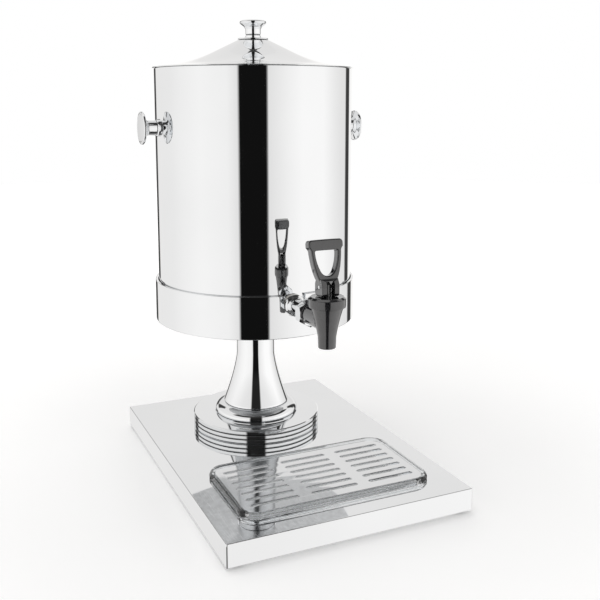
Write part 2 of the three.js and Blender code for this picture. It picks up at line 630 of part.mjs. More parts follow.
function makeTap() {
  const tap = group(0, TAP_Y, 0);

  // A spout that opens upwards into a cone.
  const bodyProfile = [
    [8.2, SPOUT_BOTTOM],
    [8.8, SPOUT_BOTTOM + 0.8],
    [9.2, 181],
    [11.2, 191.5],
    [13.9, 202],
    [15.9, 208.5],
    [16.6, TAP_TOP],
  ];
  const outside = turned([[0, SPOUT_BOTTOM], ...bodyProfile, [0, TAP_TOP]], 24);
  const inlet = rodAlongY(INLET_RADIUS, 6, TAP_INLET_END, 24).translate(0, 0, SHANK_Z);
  const spoutBore = rod(SPOUT_BORE_RADIUS, SPOUT_BOTTOM - 1, SEAT_Z + 1, 16);
  const chamber = rod(CHAMBER_RADIUS, SEAT_Z, TAP_TOP + 1, 24);
  const way = rodAlongY(BORE_RADIUS, 5, TAP_INLET_END - 5, 14).translate(0, 0, SHANK_Z);
  const socket = rodAlongY(SHANK_RADIUS + GAP, TAP_INLET_END - SOCKET_DEPTH, TAP_INLET_END + 1, 20);
  socket.translate(0, 0, SHANK_Z);
  add(tap, "tap_body", cut(join(outside, inlet), spoutBore, chamber, way, socket), black);

  const stemHole = STEM_RADIUS + GAP;
  const bonnetBottom = TAP_TOP + GAP;
  const bonnetProfile = [
    [BONNET_RADIUS - 0.8, bonnetBottom],
    [BONNET_RADIUS, bonnetBottom + 0.8],
    [BONNET_RADIUS, BONNET_TOP - 2.4],
    [BONNET_RADIUS - 2.2, BONNET_TOP],
    [stemHole, BONNET_TOP],
    [stemHole, BONNET_TOP - BONNET_PLATE],
    [CHAMBER_RADIUS, BONNET_TOP - BONNET_PLATE],
    [CHAMBER_RADIUS, bonnetBottom],
  ];
  add(tap, "tap_bonnet", turnedRing(bonnetProfile, 24), black);

  // The stem's foot is moulded into the seat cup, so the cup is cut round it.
  const cupBottom = SEAT_Z + GAP;
  const cupTop = cupBottom + 8;
  const stemFoot = cupBottom + 3;
  const stemProfile = [
    [0, stemFoot],
    [STEM_FOOT_RADIUS, stemFoot],
    [STEM_FOOT_RADIUS, stemFoot + 2],
    [STEM_RADIUS, stemFoot + 2],
    [STEM_RADIUS, PIN_Z + 2],
    [STEM_RADIUS - 1.6, PIN_Z + 4.6],
    [0, PIN_Z + 5],
  ];
  const pinHole = () => rodAlongX(PIN_RADIUS + GAP, -20, 20, 18).translate(0, 0, PIN_Z);
  add(tap, "valve_stem", cut(turned(stemProfile, 16), pinHole()), black);
  const cupProfile = [
    [0, cupBottom],
    [6.4, cupBottom],
    [7.3, cupBottom + 1.2],
    [7.3, cupTop - 1],
    [6.8, cupTop],
    [STEM_RADIUS + GAP, cupTop],
    [STEM_RADIUS + GAP, stemFoot + 2 + GAP],
    [STEM_FOOT_RADIUS + GAP, stemFoot + 2 + GAP],
    [STEM_FOOT_RADIUS + GAP, stemFoot - GAP],
    [0, stemFoot - GAP],
  ];
  add(tap, "seat_cup", turned(cupProfile, 16), silicone);

  const springLow = cupTop + 1.1;
  const springHigh = BONNET_TOP - BONNET_PLATE - 1.1;
  const spring = coilSpring(SPRING_RADIUS, SPRING_WIRE_RADIUS, springLow, springHigh, SPRING_TURNS);
  add(tap, "valve_spring", spring, brushed);

  add(tap, "tap_lever", leverShape(), black, [0, 0, PIN_Z]);
  add(tap, "lever_pin", rodAlongX(PIN_RADIUS, -EAR_SPAN, EAR_SPAN, 18), chrome, [0, 0, PIN_Z]);
}

class Helix extends THREE.Curve {
  constructor(radius, low, high, turns) {
    super();
    Object.assign(this, { radius, low, high, turns });
  }

  getPoint(t, target = new THREE.Vector3()) {
    const angle = 2 * Math.PI * this.turns * t;
    const z = this.low + (this.high - this.low) * t;
    return target.set(this.radius * Math.cos(angle), this.radius * Math.sin(angle), z);
  }
}

function coilSpring(radius, wire, low, high, turns) {
  const section = new THREE.Shape().absarc(0, 0, wire, 0, 2 * Math.PI);
  const extrudePath = new Helix(radius, low, high, turns);
  const settings = { extrudePath, steps: turns * 10, curveSegments: 3, bevelEnabled: false };
  return new THREE.ExtrudeGeometry(section, settings);
}

// Two ears under the lever straddle the valve stem, and the pin is as long as they are wide apart.
const EAR_SPAN = 9.4;
const EAR_DEPTH = 17;
const STEM_SLOT = 8.6;
const LEVER_THICKNESS = 9.5;
const GRIP_HALF = 18.6;
const GRIP_LOW = 35.5;
const GRIP_HIGH = 46.2;

// The lever about its pin: a leaning loop with a finger hole, a thicker grip across its top, and the two ears.
function leverShape() {
  const loop = new THREE.Shape();
  loop.moveTo(-EAR_SPAN, 2);
  loop.lineTo(-EAR_SPAN, 5);
  loop.quadraticCurveTo(-15.2, 16, -16.4, GRIP_LOW + 2);
  loop.lineTo(16.4, GRIP_LOW + 2);
  loop.quadraticCurveTo(15.2, 16, EAR_SPAN, 5);
  loop.lineTo(EAR_SPAN, 2);
  loop.closePath();
  const hole = new THREE.Path();
  hole.moveTo(-12.2, GRIP_LOW);
  hole.quadraticCurveTo(-11.6, 24, -7.4, 15.4);
  hole.quadraticCurveTo(-4.8, 10.6, 0, 10.6);
  hole.quadraticCurveTo(4.8, 10.6, 7.4, 15.4);
  hole.quadraticCurveTo(11.6, 24, 12.2, GRIP_LOW);
  hole.closePath();
  loop.holes.push(hole);
  const upright = plate(loop, -LEVER_THICKNESS / 2, LEVER_THICKNESS / 2, 5);
  const grip = plate(roundedRectangle(2 * GRIP_HALF, GRIP_HIGH - GRIP_LOW, 4), -6, 6, 5);
  grip.translate(0, (GRIP_LOW + GRIP_HIGH) / 2, 0);
  const leaning = join(upright, grip).rotateX(Math.PI / 2 - LEVER_LEAN);

  const [halfDepth, foot, corner] = [EAR_DEPTH / 2, PIN_Z - BONNET_TOP - GAP, 4];
  const side = new THREE.Shape();
  side.moveTo(-halfDepth, 3);
  side.lineTo(-halfDepth, -foot + corner);
  side.absarc(-halfDepth + corner, -foot + corner, corner, Math.PI, 1.5 * Math.PI);
  side.absarc(halfDepth - corner, -foot + corner, corner, 1.5 * Math.PI, 2 * Math.PI);
  side.lineTo(halfDepth, 3);
  side.lineTo(halfDepth - 3, 8.5);
  side.lineTo(-halfDepth + 3, 8.5);
  side.closePath();
  const block = plate(side, -EAR_SPAN, EAR_SPAN, 5).rotateX(Math.PI / 2).rotateZ(Math.PI / 2);
  const slotTop = 6.5;
  const slot = box(STEM_SLOT, 40, foot + slotTop + 5, [0, 0, (slotTop - foot - 5) / 2]);
  const pinHole = rodAlongX(PIN_RADIUS + RUNNING_CLEARANCE, -20, 20, 18);
  return cut(join(leaning, block), slot, pinHole);
}

// ---- Drip tray and grille ----

function makeTray() {
  const tray = group(0, TRAY_Y, 0);
  const outline = (inset, ShapeClass) => {
    const radius = Math.max(TRAY_CORNER - inset, 4);
    return roundedRectangle(TRAY_WIDTH - 2 * inset, TRAY_DEPTH - 2 * inset, radius, ShapeClass);
  };
  const seat = BASE_TOP + GAP;
  // Three stepped layers make the rounded rim, and one long layer is the pan that hangs through the base.
  const rim = [[0, seat, seat + 2.6], [1, seat + 1, seat + 4.2], [2.6, seat + 2, TRAY_RIM_TOP]];
  const layers = rim.map(([inset, low, high]) => plate(outline(inset), low, high, 4));
  const pan = plate(outline(TRAY_WALL_INSET - TRAY_WALL), TRAY_BOTTOM, seat + 1, 4);
  const grilleSeat = plate(outline(GRILLE_INSET - GAP), LEDGE_Z, TRAY_RIM_TOP + 5, 4);
  const hollow = plate(outline(TRAY_WALL_INSET), TRAY_BOTTOM + TRAY_WALL, LEDGE_Z + 1, 4);
  add(tray, "drip_tray", cut(join(layers[0], layers[1], layers[2], pan), grilleSeat, hollow), clear);

  const grille = outline(GRILLE_INSET);
  for (const groupX of [-SLOT_GROUP_PITCH, 0, SLOT_GROUP_PITCH]) {
    for (let row = 0; row < SLOT_ROWS; row++) {
      const y = (row - (SLOT_ROWS - 1) / 2) * SLOT_PITCH;
      const half = SLOT_LENGTH / 2 - SLOT_WIDTH / 2;
      const slot = new THREE.Path();
      slot.absarc(groupX + half, y, SLOT_WIDTH / 2, -Math.PI / 2, Math.PI / 2);
      slot.absarc(groupX - half, y, SLOT_WIDTH / 2, Math.PI / 2, 1.5 * Math.PI);
      slot.closePath();
      grille.holes.push(slot);
    }
  }
  add(tray, "drip_grille", plate(grille, LEDGE_Z + GAP, LEDGE_Z + GAP + SHEET, 2), steel);
}

makeBase();
makePedestal();
makeCup();
makeVessel();
makeLid();
makeShank();
makeTap();
makeTray();

export default dispenser;
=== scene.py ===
"""Looks of the countertop drinks dispenser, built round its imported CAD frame.

The functions that make pieces work in millimetres, in the frame's axes. Every mesh is stored in metres.
"""

import json
import math

import bmesh
import bpy
from mathutils import Matrix, Vector


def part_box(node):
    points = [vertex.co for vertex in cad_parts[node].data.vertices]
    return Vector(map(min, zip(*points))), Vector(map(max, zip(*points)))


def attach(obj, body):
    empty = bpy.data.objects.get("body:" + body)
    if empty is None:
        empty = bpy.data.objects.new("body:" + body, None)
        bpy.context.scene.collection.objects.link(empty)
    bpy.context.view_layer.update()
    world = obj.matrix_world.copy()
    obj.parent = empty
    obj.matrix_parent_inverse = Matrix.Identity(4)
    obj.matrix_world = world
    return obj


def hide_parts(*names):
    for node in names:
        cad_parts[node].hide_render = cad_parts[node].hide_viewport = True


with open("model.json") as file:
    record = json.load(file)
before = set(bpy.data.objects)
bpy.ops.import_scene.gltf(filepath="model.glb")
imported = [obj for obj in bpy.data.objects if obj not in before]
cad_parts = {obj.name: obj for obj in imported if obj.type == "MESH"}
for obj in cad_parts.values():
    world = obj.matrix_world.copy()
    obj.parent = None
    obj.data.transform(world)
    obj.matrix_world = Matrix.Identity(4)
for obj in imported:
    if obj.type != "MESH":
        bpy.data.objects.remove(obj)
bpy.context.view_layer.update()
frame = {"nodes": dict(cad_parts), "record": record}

MM = 0.001
LARGE_SIDES = 256  # of the vessel, lid, cup and other wide turned surfaces
MIDDLE_SIDES = 160  # of the knobs and the tap's body
SMALL_SIDES = 96
HOLE_SIDES = 48
FILLET_STEPS = 6
SHARP_ANGLE = math.radians(32)

# Sizes that several pieces share, in millimetres.
SHEET = 1.5
GAP = 0.3  # between neighbouring pieces
ROD_CLEARANCE = 0.6  # round the tie rod
SHANK_SOCKET = 8.3  # radius of the holes that the shank passes through
SHANK_BORE = 5.2
SCREW_SOCKET = 3.3
CHAMBER_RADIUS = 8.2
SKIN = 0.12  # thickness of a thin layer with a finish of its own
ACROSS = 20  # half length of a cutter that passes right through the lever or the stem


class Place:
    """Where a CAD node is: its lowest corner, highest corner, middle and half size, in millimetres."""

    def __init__(self, node):
        low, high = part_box(node)
        self.low, self.high = low / MM, high / MM
        self.mid = (self.low + self.high) / 2
        self.half = (self.high - self.low) / 2


# ---- Mesh helpers ----


def new_piece(name, mesh):
    piece = bpy.data.objects.new(name, mesh)
    bpy.context.scene.collection.objects.link(piece)
    return piece


def mesh_piece(name, points, faces):
    """A piece from points in millimetres, with its faces turned outwards."""
    mesh = bpy.data.meshes.new(name)
    mesh.from_pydata([Vector(p) * MM for p in points], [], faces)
    tidy_mesh(mesh)
    return new_piece(name, mesh)


def tidy_mesh(mesh):
    work = bmesh.new()
    work.from_mesh(mesh)
    bmesh.ops.remove_doubles(work, verts=work.verts, dist=1e-7)
    bmesh.ops.recalc_face_normals(work, faces=work.faces)
    work.to_mesh(mesh)
    work.free()


def fillet(points, closed=False):
    """Rounds the corners of an outline. Each point is (u, v), or (u, v, radius) at a corner to round."""
    rounded = []
    count = len(points)
    for i, point in enumerate(points):
        here = Vector(point[:2])
        radius = point[2] if len(point) > 2 else 0
        if not radius or (not closed and i in (0, count - 1)):
            rounded.append(here)
            continue
        before = Vector(points[i - 1][:2]) - here
        after = Vector(points[(i + 1) % count][:2]) - here
        reach = radius / math.tan(before.angle(after) / 2)
        reach = min(reach, 0.48 * before.length, 0.48 * after.length)
        start = here + before.normalized() * reach
        end = here + after.normalized() * reach
        for k in range(FILLET_STEPS + 1):
            t = k / FILLET_STEPS
            rounded.append(start.lerp(here, t).lerp(here.lerp(end, t), t))
    return rounded


def arc_points(x, y, radius, start, end, steps):
    points = []
    for k in range(steps + 1):
        angle = math.radians(start + (end - start) * k / steps)
        points.append((x + radius * math.cos(angle), y + radius * math.sin(angle)))
    return points


def curve_points(start, bend, end, steps=10):
    start, bend, end = Vector(start), Vector(bend), Vector(end)
    points = []
    for k in range(steps + 1):
        t = k / steps
        points.append(tuple(start.lerp(bend, t).lerp(bend.lerp(end, t), t)))
    return points


def spin_point(axis, centre, radius, along, angle):
    u, v = radius * math.cos(angle), radius * math.sin(angle)
    if axis == "x":
        return (along, centre[1] + u, centre[2] + v)
    if axis == "y":
        return (centre[0] + u, along, centre[2] + v)
    return (centre[0] + u, centre[1] + v, along)


def turned(name, profile, centre, axis="z", sides=LARGE_SIDES, ring=False):
    """A turned piece. The profile is (radius, place along the axis) points, with radii to round its corners.
    A ring's profile closes on itself; any other runs from the axis to the axis."""
    outline = fillet(profile, closed=ring)
    points, loops = [], []
    for radius, along in outline:
        first = len(points)
        count = sides if radius > 1e-6 else 1
        for k in range(count):
            points.append(spin_point(axis, centre, radius, along, 2 * math.pi * k / sides))
        loops.append([first + k % count for k in range(sides)])
    faces = []
    for i in range(len(loops) if ring else len(loops) - 1):
        a, b = loops[i], loops[(i + 1) % len(loops)]
        for k in range(sides):
            m = (k + 1) % sides
            corners = [a[k], a[m], b[m], b[k]]
            face = [v for n, v in enumerate(corners) if v != corners[n - 1]]
            if len(face) > 2:
                faces.append(face)
    return mesh_piece(name, points, faces)


def plug(name, radius, start, end, centre, axis="z", sides=HOLE_SIDES):
    """A plain solid cylinder."""
    return turned(name, [(0, start), (radius, start), (radius, end), (0, end)], centre, axis, sides)


def rounded_rectangle(width, depth, corner, steps):
    """The outline of a rounded rectangle about the origin."""
    outline = []
    for quarter in range(4):
        sign_x = 1 if quarter in (0, 3) else -1
        sign_y = 1 if quarter in (0, 1) else -1
        for k in range(steps + 1):
            angle = math.pi / 2 * (quarter + k / steps)
            x = sign_x * (width / 2 - corner) + corner * math.cos(angle)
            y = sign_y * (depth / 2 - corner) + corner * math.sin(angle)
            outline.append((x, y))
    return outline


def lofted(name, width, depth, corner, centre, profile, steps):
    """A closed piece whose sections are rounded rectangles. The profile is (inset, height) points, from one
    flat end to the other."""
    points, faces = [], []
    for inset, height in fillet(profile):
        radius = min(max(corner - inset, 0.35 + 0.05 * corner), corner)
        for x, y in rounded_rectangle(width - 2 * inset, depth - 2 * inset, radius, steps):
            points.append((centre[0] + x, centre[1] + y, height))
    count = 4 * (steps + 1)
    levels = len(points) // count
    for level in range(levels - 1):
        low = level * count
        for k in range(count):
            m = (k + 1) % count
            faces.append([low + k, low + m, low + count + m, low + count + k])
    faces.append(list(range(count)))
    faces.append(list(range((levels - 1) * count, levels * count)))
    return mesh_piece(name, points, faces)


def evaluated_mesh(piece):
    bpy.context.view_layer.update()
    graph = bpy.context.evaluated_depsgraph_get()
    return bpy.data.meshes.new_from_object(piece.evaluated_get(graph))


def apply_modifiers(piece):
    mesh = evaluated_mesh(piece)
    piece.modifiers.clear()
    piece.data = mesh
    return piece


def combined(piece, *others, operation="DIFFERENCE"):
    """Cuts the others out of the piece, or joins them to it, and uses them up."""
    for other in others:
        step = piece.modifiers.new("combine", "BOOLEAN")
        step.operation = operation
        step.object = other
        step.solver = "EXACT"
    apply_modifiers(piece)
    for other in others:
        bpy.data.objects.remove(other)
    return piece


def softened(piece, width, segments, angle):
    """Rounds the edges that turn by more than the angle, in degrees."""
    step = piece.modifiers.new("soften", "BEVEL")
    step.width = width * MM
    step.segments = segments
    step.limit_method = "ANGLE"
    step.angle_limit = math.radians(angle)
    return apply_modifiers(piece)


def outline_plate(name, outer, holes, thickness, edge, edge_steps):
    """A flat plate about z = 0 with rounded edges, from an outline and holes, in millimetres."""
    curve = bpy.data.curves.new(name, "CURVE")
    curve.dimensions = "2D"
    curve.fill_mode = "BOTH"
    curve.extrude = thickness / 2 - edge
    curve.bevel_depth = edge
    curve.bevel_resolution = edge_steps
    curve.offset = -edge
    for outline in [outer, *holes]:
        spline = curve.splines.new("POLY")
        spline.points.add(len(outline) - 1)
        for point, (x, y) in zip(spline.points, outline):
            point.co = (x, y, 0, 1)
        spline.use_cyclic_u = True
    flat = new_piece(name, curve)
    mesh = evaluated_mesh(flat)
    bpy.data.objects.remove(flat)
    mesh.transform(Matrix.Scale(MM, 4))
    tidy_mesh(mesh)
    return new_piece(name, mesh)


def hex_nut(name, across_flats, bore, start, end, centre, axis, turn):
    """A nut with turned chamfers on its corners."""
    corner = across_flats / math.sqrt(3)
    points = []
    for along in (start, end):
        for k in range(6):
            points.append(spin_point(axis, centre, corner, along, turn + k * math.pi / 3))
    faces = [[0, 1, 2, 3, 4, 5], [11, 10, 9, 8, 7, 6]]
    faces += [[k, (k + 1) % 6, 6 + (k + 1) % 6, 6 + k] for k in range(6)]
    nut = mesh_piece(name, points, faces)
    face = across_flats / 2 - 0.2
    chamfer = 0.52 * (corner - across_flats / 2) + 0.6
    past_corner = corner + 0.4
    profile = [
        (bore, start, 0.3),
        (face, start),
        (past_corner, start + chamfer),
        (past_corner, end - chamfer),
        (face, end),
        (bore, end, 0.3),
    ]
    blank = turned(name + "_blank", profile, centre, axis, SMALL_SIDES, ring=True)
    return softened(combined(nut, blank, operation="INTERSECT"), width=0.25, segments=2, angle=25)


# ---- Materials ----


NOISE_RANGE = (0.3, 0.7)  # where most of a noise texture's values lie
CREVICE_SHADE_RANGE = (0.45, 0.85)  # how open a point is, from deep in a groove to its edge; it sets the painted shade in grooves


class Surface:
    """A procedural material made round one Principled shader, in the piece's own coordinates in metres."""

    def __init__(self, name):
        self.material = bpy.data.materials.new(name)
        self.material.use_nodes = True
        self.nodes = self.material.node_tree.nodes
        self.links = self.material.node_tree.links
        self.shader = self.nodes["Principled BSDF"]
        self.coordinates = self.nodes.new("ShaderNodeTexCoord")

    def set(self, **values):
        for socket, value in values.items():
            self.shader.inputs[socket.replace("_", " ")].default_value = value

    def noise(self, scale, detail=3.0, stretch=(1, 1, 1)):
        mapping = self.nodes.new("ShaderNodeMapping")
        mapping.inputs["Scale"].default_value = stretch
        texture = self.nodes.new("ShaderNodeTexNoise")
        texture.inputs["Scale"].default_value = scale
        texture.inputs["Detail"].default_value = detail
        self.links.new(self.coordinates.outputs["Object"], mapping.inputs["Vector"])
        self.links.new(mapping.outputs["Vector"], texture.inputs["Vector"])
        return texture.outputs["Fac"]

    def between(self, factor, low, high):
        spread = self.nodes.new("ShaderNodeMapRange")
        spread.inputs["From Min"].default_value = NOISE_RANGE[0]
        spread.inputs["From Max"].default_value = NOISE_RANGE[1]
        spread.inputs["To Min"].default_value = low
        spread.inputs["To Max"].default_value = high
        self.links.new(factor, spread.inputs["Value"])
        return spread.outputs["Result"]

    def colour(self, factor, dark, light):
        ramp = self.nodes.new("ShaderNodeValToRGB")
        for element, place, shade in zip(ramp.color_ramp.elements, NOISE_RANGE, (dark, light)):
            element.position = place
            element.color = (*shade, 1)
        self.links.new(factor, ramp.inputs["Fac"])
        self.links.new(ramp.outputs["Color"], self.shader.inputs["Base Color"])

    def paint_crevice_shade(self, reach, depth):
        """Paints shade into the colour in grooves and joints narrower than the reach, in metres: the colour
        is darkened where the piece closes round a point.
        """
        colour = self.shader.inputs["Base Color"].links[0].from_socket
        crevice_occlusion = self.nodes.new("ShaderNodeAmbientOcclusion")
        crevice_occlusion.samples = 6
        crevice_occlusion.only_local = True
        crevice_occlusion.inputs["Distance"].default_value = reach
        fade = self.nodes.new("ShaderNodeMapRange")
        fade.inputs["From Min"].default_value = CREVICE_SHADE_RANGE[0]
        fade.inputs["From Max"].default_value = CREVICE_SHADE_RANGE[1]
        fade.inputs["To Min"].default_value = depth
        self.links.new(crevice_occlusion.outputs["AO"], fade.inputs["Value"])
        step = self.nodes.new("ShaderNodeVectorMath")
        step.operation = "SCALE"
        self.links.new(colour, step.inputs[0])
        self.links.new(fade.outputs["Result"], step.inputs["Scale"])
        self.links.new(step.outputs["Vector"], self.shader.inputs["Base Color"])

    def roughness(self, factor, low, high):
        self.links.new(self.between(factor, low, high), self.shader.inputs["Roughness"])

    def bump(self, *layers):
        """Each layer is (height factor, depth in metres)."""
        normal = None
        for factor, depth in layers:
            step = self.nodes.new("ShaderNodeBump")
            step.inputs["Strength"].default_value = 1.0
            step.inputs["Distance"].default_value = depth
            self.links.new(factor, step.inputs["Height"])
            if normal:
                self.links.new(normal, step.inputs["Normal"])
            normal = step.outputs["Normal"]
        self.links.new(normal, self.shader.inputs["Normal"])


def slot_colour(slot):
    colours = {m["slot"]: m["base_color"] for m in frame["record"]["materials"]}
    return colours[slot][:3]


def shades(slot, darker, lighter=1.0):
    base = slot_colour(slot)
    return [c * darker for c in base], [min(c * lighter, 1.0) for c in base]


def polished_metal(slot, smooth, hazy, waves, lines, edge=1.0):
    """Mirror metal, with faint haze where it has been wiped, a trace of polishing lines and gentle waves in
    the sheet. The edge is how bright it stays at a grazing angle."""
    surface = Surface(slot)
    surface.set(Metallic=1.0, Specular_Tint=(edge, edge, edge, 1))
    surface.colour(surface.noise(9.0), *shades(slot, 1.03, 1.06))
    # painted shade: the colour is darkened in the metal's own grooves and joints
    surface.paint_crevice_shade(reach=0.004, depth=0.12)
    surface.roughness(surface.noise(38.0, detail=6.0), smooth, hazy)
    surface.bump(
        (surface.noise(7.0, detail=1.0), waves),
        (surface.noise(900.0, detail=2.0, stretch=(1, 1, 0.04)), lines),
    )
    return surface.material


def brushed_metal(slot):
    surface = Surface(slot)
    surface.set(Metallic=1.0, Anisotropic=0.45)
    grain = surface.noise(1400.0, detail=4.0, stretch=(1, 0.03, 1))
    surface.colour(surface.noise(120.0, detail=5.0), *shades(slot, 0.86, 1.08))
    surface.roughness(grain, 0.24, 0.42)
    surface.bump(
        (grain, 0.00002),
        (surface.noise(60.0, detail=2.0), 0.00004),
    )
    return surface.material


def gloss_plastic(slot):
    surface = Surface(slot)
    surface.set(IOR=1.6, Coat_Weight=1.0, Coat_Roughness=0.03, Coat_IOR=1.6)
    surface.colour(surface.noise(160.0, detail=4.0), *shades(slot, 0.5, 0.9))
    surface.roughness(surface.noise(90.0, detail=5.0), 0.07, 0.14)
    surface.bump(
        (surface.noise(260.0, detail=2.0), 0.00003),
        (surface.noise(2600.0, detail=2.0), 0.000002),
    )
    return surface.material


def clear_plastic(slot):
    surface = Surface(slot)
    surface.set(IOR=1.49, Transmission_Weight=1.0)
    surface.colour(surface.noise(60.0, detail=3.0), (0.94, 0.955, 0.96), (0.98, 0.985, 0.99))
    surface.roughness(surface.noise(120.0, detail=5.0), 0.01, 0.05)
    surface.bump((surface.noise(45.0, detail=2.0), 0.00006))
    return surface.material


def soft_rubber(slot, low, high, grain):
    surface = Surface(slot)
    surface.colour(surface.noise(320.0, detail=5.0), *shades(slot, 0.8, 1.25))
    surface.roughness(surface.noise(500.0, detail=4.0), low, high)
    surface.bump((surface.noise(2200.0, detail=4.0), grain))
    return surface.material


def make_materials():
    polish = {
        "polished_steel": dict(smooth=0.012, hazy=0.05, waves=0.00003, lines=0.0000002),
        "grille_steel": dict(smooth=0.02, hazy=0.09, waves=0.00006, lines=0.0000006),
        "chrome_trim": dict(smooth=0.008, hazy=0.03, waves=0.00001, lines=0.0000001, edge=0.8),
    }
    made = {slot: polished_metal(slot, **finish) for slot, finish in polish.items()}
    made["plain_steel"] = brushed_metal("plain_steel")
    made["black_plastic"] = gloss_plastic("black_plastic")
    made["clear_tray"] = clear_plastic("clear_tray")
    made["silicone"] = soft_rubber("silicone", low=0.42, high=0.6, grain=0.00002)
    made["foot_rubber"] = soft_rubber("foot_rubber", low=0.6, high=0.85, grain=0.00005)
    return made


materials = make_materials()


def dress(piece, slot, body, *nodes):
    """Finishes a piece: smooth faces with crisp edges, its material, its body and the CAD nodes that it
    stands for."""
    mesh = piece.data
    mesh.polygons.foreach_set("use_smooth", [True] * len(mesh.polygons))
    mesh.set_sharp_from_angle(angle=SHARP_ANGLE)
    weighted = piece.modifiers.new("even normals", "WEIGHTED_NORMAL")
    weighted.keep_sharp = True
    mesh.materials.clear()
    mesh.materials.append(materials[slot])
    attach(piece, body)
    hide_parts(*nodes)
    return piece


def finish_cad_nodes():
    """The hidden and inner CAD pieces keep their shapes and take their slot's material."""
    slots = {s["node"]: s["material_slot"] for s in frame["record"]["subparts"]}
    for name, node in frame["nodes"].items():
        if not node.hide_render:
            for i in range(len(node.material_slots)):
                node.material_slots[i].material = materials[slots[name]]


# ---- Base ----


def make_base():
    base = Place("base_shell")
    tray = Place("drip_tray")
    rod = Place("tie_rod")
    flange, fold, face_inset, corner_radius = 22, 1.1, 6, 1.6
    bottom, top = base.low.z, base.high.z
    profile = [
        (face_inset, top),
        (0, top, fold),
        (0, bottom, fold),
        (flange, bottom, 0.3),
        (flange, bottom + SHEET, 0.3),
        (SHEET, bottom + SHEET, 0.4),
        (SHEET, top - SHEET, 0.4),
        (face_inset, top - SHEET),
    ]
    width, depth = 2 * base.half.x, 2 * base.half.y
    shell = lofted("base_shell_body", width, depth, corner_radius, base.mid, profile, 5)
    pan_gap = 8.5
    pan_width, pan_depth = 2 * (tray.half.x - pan_gap), 2 * (tray.half.y - pan_gap)
    pan_corner, through = 12, (top - 6, top + 6)
    opening = [(0, height) for height in through]
    rod_hole = rod.half.x + ROD_CLEARANCE
    cuts = [
        lofted("tray_opening", pan_width, pan_depth, pan_corner, tray.mid, opening, 10),
        plug("rod_opening", rod_hole, *through, rod.mid),
    ]
    # the folded skirts meet at the corners in an open joint, as wide as a thin line
    joint_reach, joint_width, joint_top = 1.3, 0.45, top - 2.2
    for sign_x in (-1, 1):
        for sign_y in (-1, 1):
            corner = Vector((sign_x * base.half.x, base.mid.y + sign_y * base.half.y, 0))
            slit = [(0, bottom - 2), (0, joint_top)]
            cutter = lofted("corner_joint", 2 * joint_reach, joint_width, 0.1, (0, 0, 0), slit, 1)
            cutter.data.transform(Matrix.Rotation(math.atan2(sign_y, sign_x), 4, "Z"))
            cutter.data.transform(Matrix.Translation(corner * MM))
            cuts.append(cutter)
    combined(shell, *cuts)
    dress(shell, "polished_steel", "stand", "base_shell")

    for node in ("foot_front_left", "foot_front_right", "foot_rear_left", "foot_rear_right"):
        foot = Place(node)
        low, high = foot.low.z, foot.high.z
        neck = 3.2
        ledge = base.low.z - GAP
        shoulder = ledge + SHEET + 2 * GAP
        profile = [
            (0, low + 0.5),
            (foot.half.x - 4, low + 0.5, 0.4),
            (foot.half.x - 3, low, 0.3),
            (foot.half.x - 0.6, low, 0.7),
            (foot.half.x, ledge, 0.4),
            (neck, ledge, 0.3),
            (neck, shoulder, 0.3),
            (neck + 1.6, shoulder, 0.4),
            (neck - 0.8, high, 0.6),
            (0, high),
        ]
        dress(turned(node + "_pad", profile, foot.mid, sides=SMALL_SIDES), "foot_rubber", "stand", node)


# ---- Pedestal and cup ----


def make_pedestal():
    plinth = Place("ribbed_plinth")
    rod = Place("tie_rod")
    rod_hole = rod.half.x + ROD_CLEARANCE
    bottom, top, radius = plinth.low.z, plinth.high.z, plinth.half.x
    ribs = 3
    pitch = (top - bottom) / ribs
    groove_depth, groove_half = 1.5, 0.45
    hub, hollow, hollow_top = 16, 66, top - 5
    profile = [(rod_hole, top - 0.01), (rod_hole, bottom), (hub, bottom, 0.4), (hub, hollow_top, 0.6)]
    profile += [(hollow, hollow_top, 0.6), (hollow, bottom, 0.4)]
    for i in range(ribs):
        low, high = bottom + i * pitch, bottom + (i + 1) * pitch
        profile += [
            (radius - groove_depth, low, 0.3),
            (radius - groove_depth, low + groove_half, 0.3),
            (radius, low + groove_half + 0.4, 0.5),
            (radius, high - groove_half - 0.4, 0.5),
            (radius - groove_depth, high - groove_half, 0.3),
        ]
    profile[-1] = (radius - 1.0, top, 0.5)
    dress(turned("plinth_disc", profile, plinth.mid, ring=True), "polished_steel", "stand", "ribbed_plinth")

    collar = Place("pedestal_collar")
    low, high, outer = collar.low.z, collar.high.z, collar.half.x
    inner, dome_reach, dome_foot = 32, 12.5, low + 1.2
    dome = [(inner, low, 0.3), (outer - 1, low, 0.5)]
    steps = 16
    for k in range(steps + 1):
        angle = math.pi / 2 * k / steps
        height = dome_foot + (high - dome_foot) * math.sin(angle)
        dome.append((outer - dome_reach * (1 - math.cos(angle)), height))
    dome.append((inner, high, 0.3))
    dress(turned("collar_ring", dome, collar.mid, ring=True), "chrome_trim", "stand", "pedestal_collar")

    column = Place("pedestal_column")
    low, high, lip = column.low.z, column.high.z, column.half.x
    stem = 0.589 * lip
    flare_top, lip_top, flare_power = low + 60.5, low + 1.4, 1.4
    wall, cap = 2, 4
    steps = 40
    outside, inside = [], []
    for k in range(steps + 1):
        z = lip_top + (flare_top - lip_top) * k / steps
        reach = stem + (lip - stem) * ((flare_top - z) / (flare_top - lip_top)) ** flare_power
        outside.append((reach, z))
        inside.insert(0, (reach - wall, z))
    profile = [(lip - 3, low), (lip - 0.5, low, 0.5), (lip, low + 0.7, 0.3), *outside]
    profile += [(stem, high, 0.4), (rod_hole, high), (rod_hole, high - cap), (stem - wall, high - cap, 0.6)]
    profile += inside
    dress(turned("column_trumpet", profile, column.mid, ring=True), "chrome_trim", "stand", "pedestal_column")


